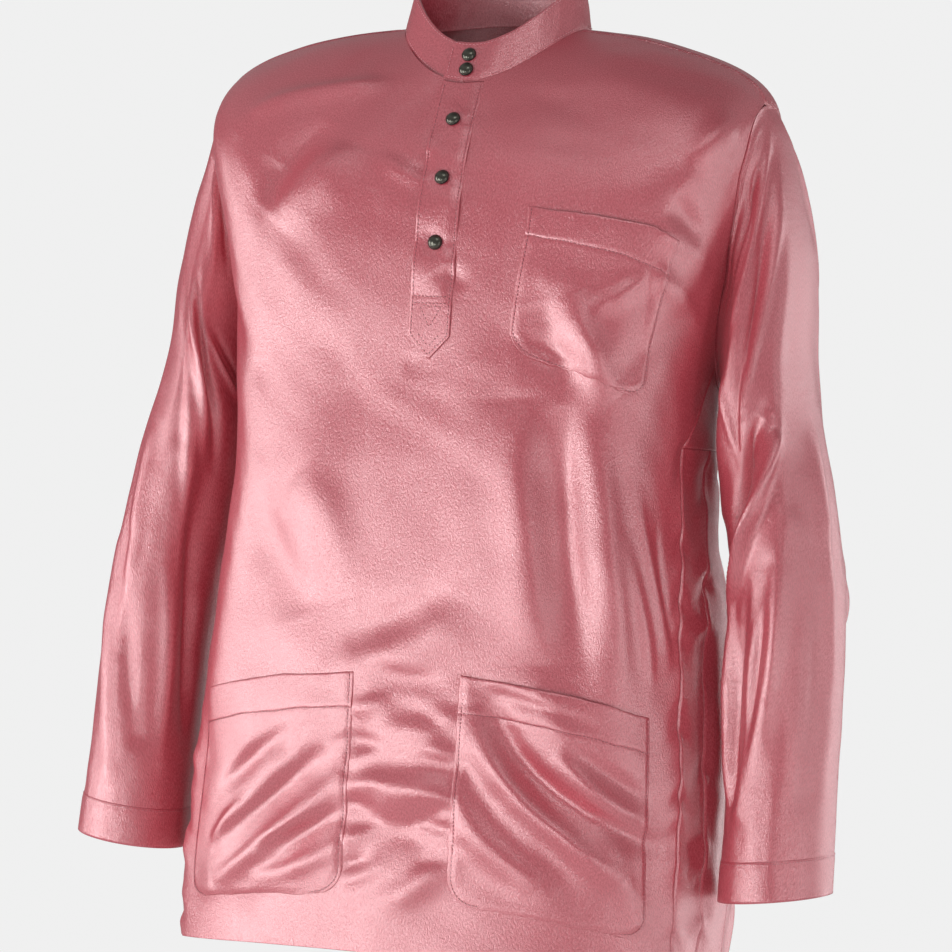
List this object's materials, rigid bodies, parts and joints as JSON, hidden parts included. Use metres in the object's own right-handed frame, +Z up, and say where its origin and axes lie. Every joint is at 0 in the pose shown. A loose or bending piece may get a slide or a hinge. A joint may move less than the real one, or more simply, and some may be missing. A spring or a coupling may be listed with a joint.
{
  "type": "baju melayu shirt",
  "caption": "Long-sleeved pullover shirt in satin with a stand collar, a studded front placket, side gores, underarm gussets and three patch pockets, shaped as worn.",
  "frame": {"origin": "midway between the two points where the shoulder seams meet the neck edge, where the shirt rests when worn", "axes": "+Z up, front faces -Y, +X towards the wearer's left"},
  "size_m": [0.6492, 0.2729, 0.8109],
  "materials": {
    "satin": "soft satin with a fine pebbled grain, dusty pink",
    "stud_metal": "polished dark gunmetal"
  },
  "bodies": {
    "root": {"body_front": "satin", "body_back": "satin", "gore_front_left": "satin", "gore_back_left": "satin", "gore_front_right": "satin", "gore_back_right": "satin", "gusset_left": "satin", "gusset_right": "satin", "sleeve_left": "satin", "sleeve_right": "satin", "collar": "satin", "placket": "satin", "pocket_chest": "satin", "pocket_lower_left": "satin", "pocket_lower_right": "satin", "stud_1": "stud_metal", "stud_2": "stud_metal", "stud_3": "stud_metal", "stud_4": "stud_metal", "stud_5": "stud_metal"}
  },
  "joints": []
}
